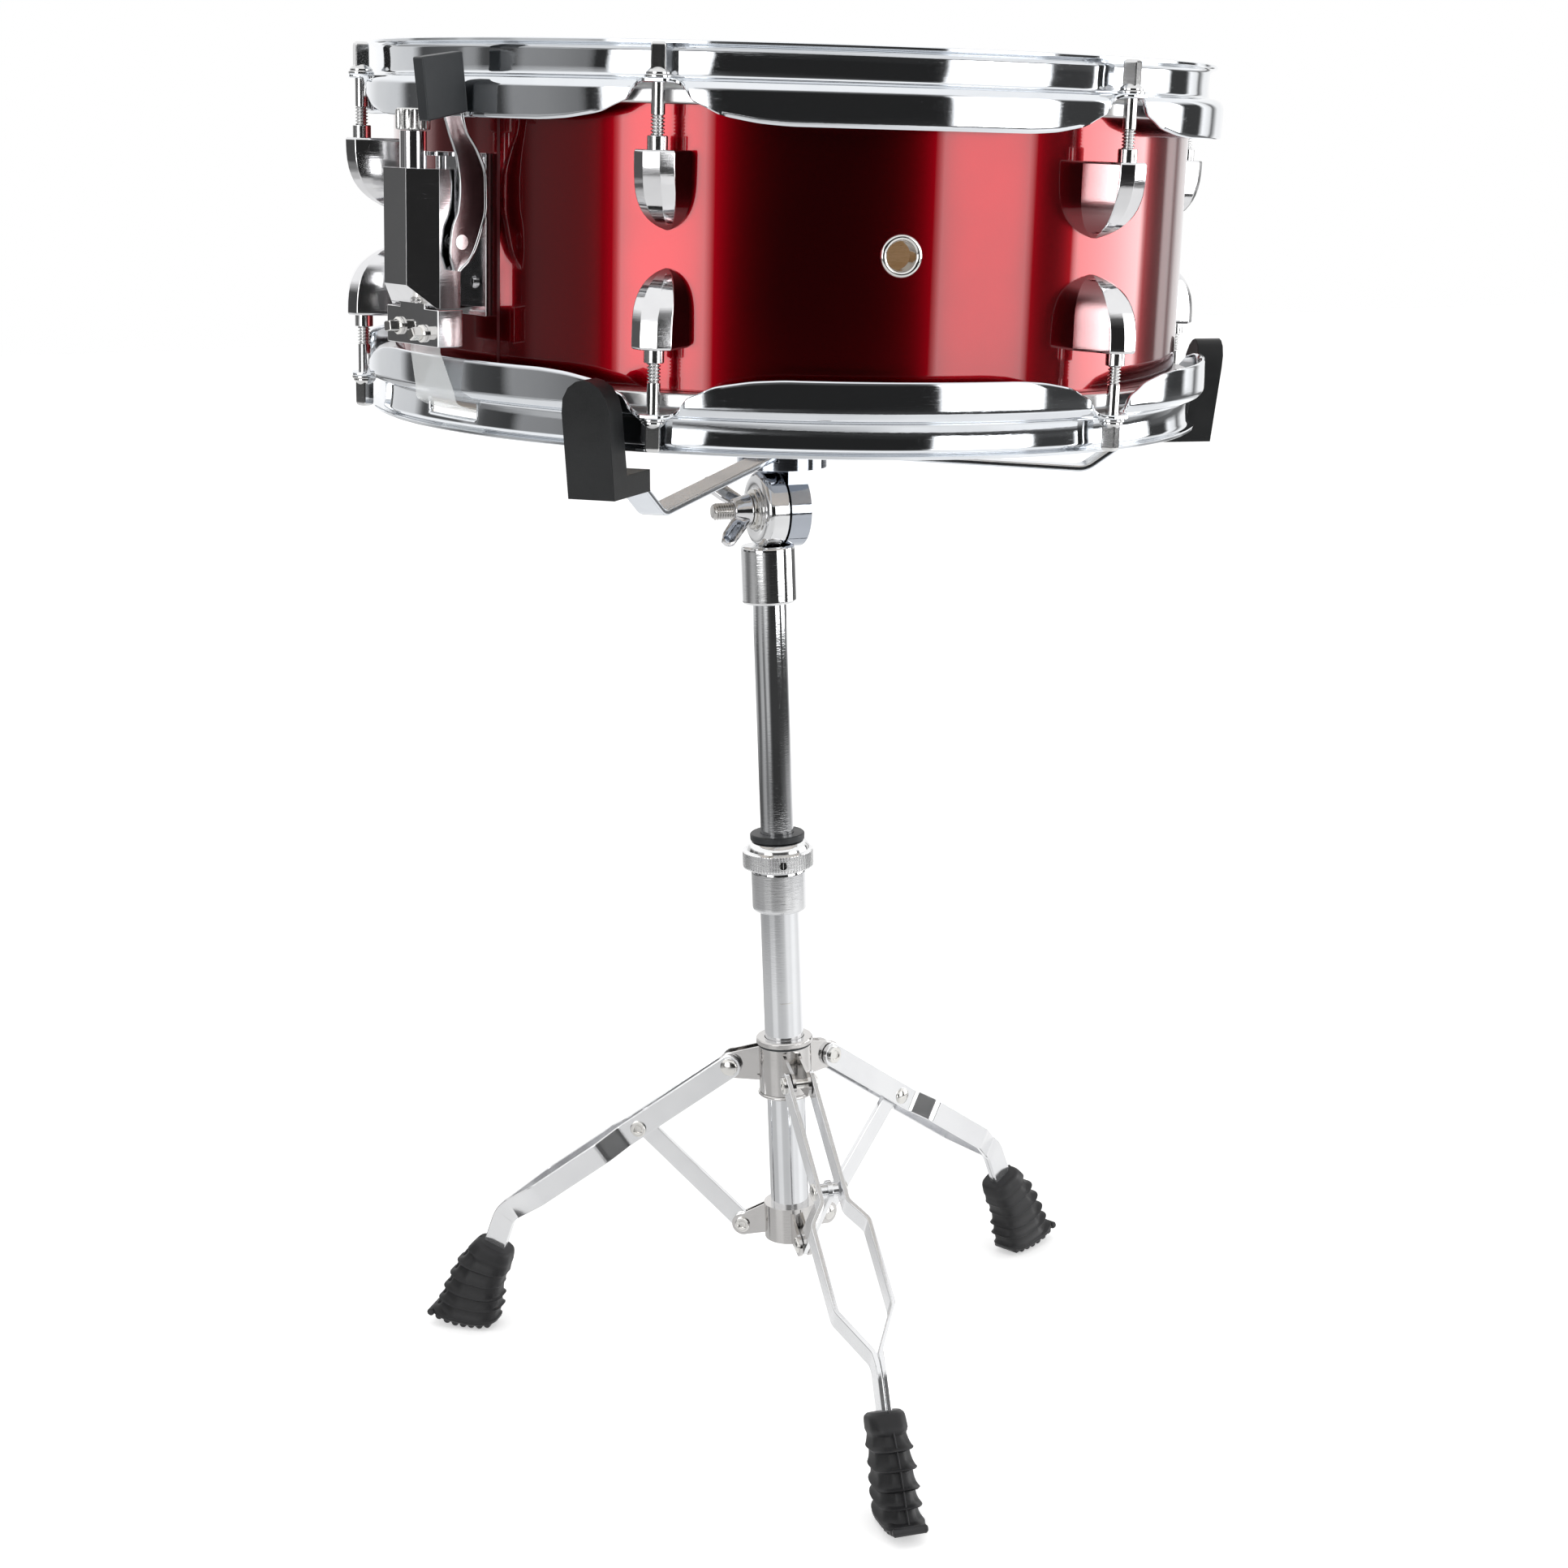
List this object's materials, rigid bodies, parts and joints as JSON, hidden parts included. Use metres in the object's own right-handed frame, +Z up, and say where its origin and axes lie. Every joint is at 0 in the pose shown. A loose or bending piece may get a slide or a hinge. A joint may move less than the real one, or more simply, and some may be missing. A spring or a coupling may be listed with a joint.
{
  "type": "snare drum on stand",
  "caption": "Snare drum with flanged hoops, lugs, key rods and a throw lever strainer, held by a three-arm basket on a tilting, telescoping tripod stand with rubber feet.",
  "frame": {"origin": "on the floor, under the stand tube's axis", "axes": "+Z up along the stand tube; +X to the viewer's right and -Y toward the viewer, with one leg reaching forward and a little right"},
  "size_m": [0.411, 0.3913, 0.6479],
  "materials": {
    "chrome_tube": "polished tube",
    "chrome_sheet": "polished pressed steel",
    "chrome_flat": "plated flat bar",
    "nickel": "nickel plated hardware",
    "ring_nut": "knurled",
    "black_plastic": "moulded black",
    "rubber_foot": "ribbed rubber",
    "rubber_grip": "smooth moulded rubber",
    "hoop_chrome": "flanged steel hoop",
    "wood": "laminated shell, clear lacquer",
    "red_wrap": "wine red gloss wrap",
    "head_coated": "white coated film",
    "head_clear": "thin clear film",
    "head_hoop": "flesh ring",
    "cast_chrome": "die cast, plated",
    "rod_steel": "threaded key rods",
    "grommet": "vent eyelet",
    "knob": "knurled knob",
    "strap": "clear plastic strip",
    "snare_steel": "coiled wires and end plates"
  },
  "bodies": {
    "base": {"lower_tube": "chrome_tube", "clamp_sleeve": "chrome_tube", "clamp_bush": "black_plastic", "lower_collar": "chrome_sheet", "lower_collar_rivets": "nickel"},
    "leg_collar": {"upper_collar": "chrome_sheet", "collar_trim_rings": "chrome_sheet", "collar_rivets": "nickel", "pivot_washers": "black_plastic"},
    "collar_screw": {"collar_screw": "nickel"},
    "clamp_ring": {"clamp_ring": "ring_nut"},
    "mast": {"upper_tube": "chrome_tube", "tilter_socket": "chrome_sheet", "tilter_bolt": "nickel", "tilter_washers": "nickel"},
    "wing_nut": {"wing_nut": "nickel"},
    "basket": {"basket_hub": "chrome_sheet"},
    "leg_front": {"leg_front": "chrome_flat", "foot_front": "rubber_foot", "strut_rivet_front": "nickel"},
    "strut_front": {"strut_front": "chrome_flat"},
    "leg_right": {"leg_right": "chrome_flat", "foot_right": "rubber_foot", "strut_rivet_right": "nickel"},
    "strut_right": {"strut_right": "chrome_flat"},
    "leg_left": {"leg_left": "chrome_flat", "foot_left": "rubber_foot", "strut_rivet_left": "nickel"},
    "strut_left": {"strut_left": "chrome_flat"},
    "arm_left": {"arm_left": "chrome_flat", "grip_left": "rubber_grip"},
    "arm_right": {"arm_right": "chrome_flat", "grip_right": "rubber_grip"},
    "arm_rear": {"arm_rear": "chrome_flat", "grip_rear": "rubber_grip"},
    "drum": {"drum_shell": "wood", "shell_wrap": "red_wrap", "batter_hoop": "hoop_chrome", "snare_hoop": "hoop_chrome", "batter_head": "head_coated", "batter_head_ring": "head_hoop", "snare_head": "head_clear", "snare_head_ring": "head_hoop", "lugs": "cast_chrome", "lug_inserts": "cast_chrome", "shell_screws": "nickel", "tension_rods": "rod_steel", "rod_washers": "rod_steel", "vent_grommet": "grommet", "strainer_base": "cast_chrome", "strainer_body": "cast_chrome", "butt_plate": "cast_chrome", "snare_strap_throw": "strap", "snare_strap_butt": "strap", "snare_wires": "snare_steel"},
    "throw_lever": {"throw_lever": "cast_chrome", "lever_cap": "black_plastic"},
    "strainer_knob": {"strainer_knob": "knob"},
    "snare_clamp": {"snare_clamp": "cast_chrome"}
  },
  "joints": [
    {"name": "collar_slide", "type": "slide", "parent": "base", "child": "leg_collar", "axis": [0, 0, 1], "range_m": [0, 0.0445]},
    {"name": "leg_front_hinge", "type": "hinge", "parent": "leg_collar", "child": "leg_front", "pos_m": [0.00651, -0.0262, 0.155], "axis": [0.9705, 0.2412, 0], "range_deg": [0, 42.91]},
    {"name": "leg_right_hinge", "type": "hinge", "parent": "leg_collar", "child": "leg_right", "pos_m": [0.01944, 0.01874, 0.155], "axis": [-0.6942, 0.7198, 0], "range_deg": [0, 42.91]},
    {"name": "leg_left_hinge", "type": "hinge", "parent": "leg_collar", "child": "leg_left", "pos_m": [-0.02595, 0.00746, 0.155], "axis": [-0.2763, -0.9611, 0], "range_deg": [0, 42.91]},
    {"name": "strut_front_hinge", "type": "hinge", "parent": "base", "child": "strut_front", "pos_m": [0.00589, -0.02368, 0.07], "axis": [-0.9705, -0.2412, 0], "range_deg": [0, 35.15]},
    {"name": "strut_right_hinge", "type": "hinge", "parent": "base", "child": "strut_right", "pos_m": [0.01756, 0.01694, 0.07], "axis": [0.6942, -0.7198, 0], "range_deg": [0, 35.15]},
    {"name": "strut_left_hinge", "type": "hinge", "parent": "base", "child": "strut_left", "pos_m": [-0.02345, 0.00674, 0.07], "axis": [0.2763, 0.9611, 0], "range_deg": [0, 35.15]},
    {"name": "collar_screw_turn", "type": "hinge", "parent": "leg_collar", "child": "collar_screw", "pos_m": [-0.00413, 0.01442, 0.155], "axis": [-0.2756, 0.9613, 0], "continuous": true},
    {"name": "clamp_ring_turn", "type": "hinge", "parent": "base", "child": "clamp_ring", "pos_m": [0, 0, 0.262], "axis": [0, 0, 1], "continuous": true},
    {"name": "height_slide", "type": "slide", "parent": "base", "child": "mast", "axis": [0, 0, 1], "range_m": [-0.06, 0.055]},
    {"name": "tilter_hinge", "type": "hinge", "parent": "mast", "child": "basket", "pos_m": [0, 0, 0.4316], "axis": [-0.9318, -0.3618, 0.029], "range_deg": [-20, 35]},
    {"name": "wing_nut_turn", "type": "hinge", "parent": "mast", "child": "wing_nut", "pos_m": [-0.01211, -0.0047, 0.43198], "axis": [-0.9318, -0.3618, 0.029], "continuous": true},
    {"name": "arm_left_slide", "type": "slide", "parent": "basket", "child": "arm_left", "axis": [-0.3792, -0.9253, 0.0077], "range_m": [0, 0.012]},
    {"name": "arm_right_slide", "type": "slide", "parent": "basket", "child": "arm_right", "axis": [0.9904, 0.1342, -0.0322], "range_m": [0, 0.012]},
    {"name": "arm_rear_slide", "type": "slide", "parent": "basket", "child": "arm_rear", "axis": [-0.6112, 0.7911, 0.0244], "range_m": [0, 0.012]},
    {"name": "drum_lift", "type": "slide", "parent": "basket", "child": "drum", "axis": [0.0617, -0.0129, 0.998], "range_m": [0, 0.12]},
    {"name": "throw_lever_hinge", "type": "hinge", "parent": "drum", "child": "throw_lever", "pos_m": [-0.11978, -0.14195, 0.56261], "axis": [0.6548, -0.7541, -0.0502], "range_deg": [0, 90]},
    {"name": "snare_release", "type": "slide", "parent": "drum", "child": "snare_clamp", "axis": [-0.0617, 0.0129, -0.998], "range_m": [0, 0.005], "deforming": ["snare_strap_throw"]},
    {"name": "strainer_knob_turn", "type": "hinge", "parent": "drum", "child": "strainer_knob", "pos_m": [-0.13642, -0.13454, 0.61083], "axis": [0.0617, -0.0129, 0.998], "continuous": true}
  ],
  "couplings": [
    {"joint": "leg_front_hinge", "follows": "collar_slide", "rad_per_m": 16.83},
    {"joint": "leg_right_hinge", "follows": "collar_slide", "rad_per_m": 16.83},
    {"joint": "leg_left_hinge", "follows": "collar_slide", "rad_per_m": 16.83},
    {"joint": "strut_front_hinge", "follows": "collar_slide", "rad_per_m": 13.786},
    {"joint": "strut_right_hinge", "follows": "collar_slide", "rad_per_m": 13.786},
    {"joint": "strut_left_hinge", "follows": "collar_slide", "rad_per_m": 13.786},
    {"joint": "arm_right_slide", "follows": "arm_left_slide", "ratio": 1},
    {"joint": "arm_rear_slide", "follows": "arm_left_slide", "ratio": 1},
    {"joint": "snare_release", "follows": "throw_lever_hinge", "m_per_rad": 0.0031831}
  ]
}
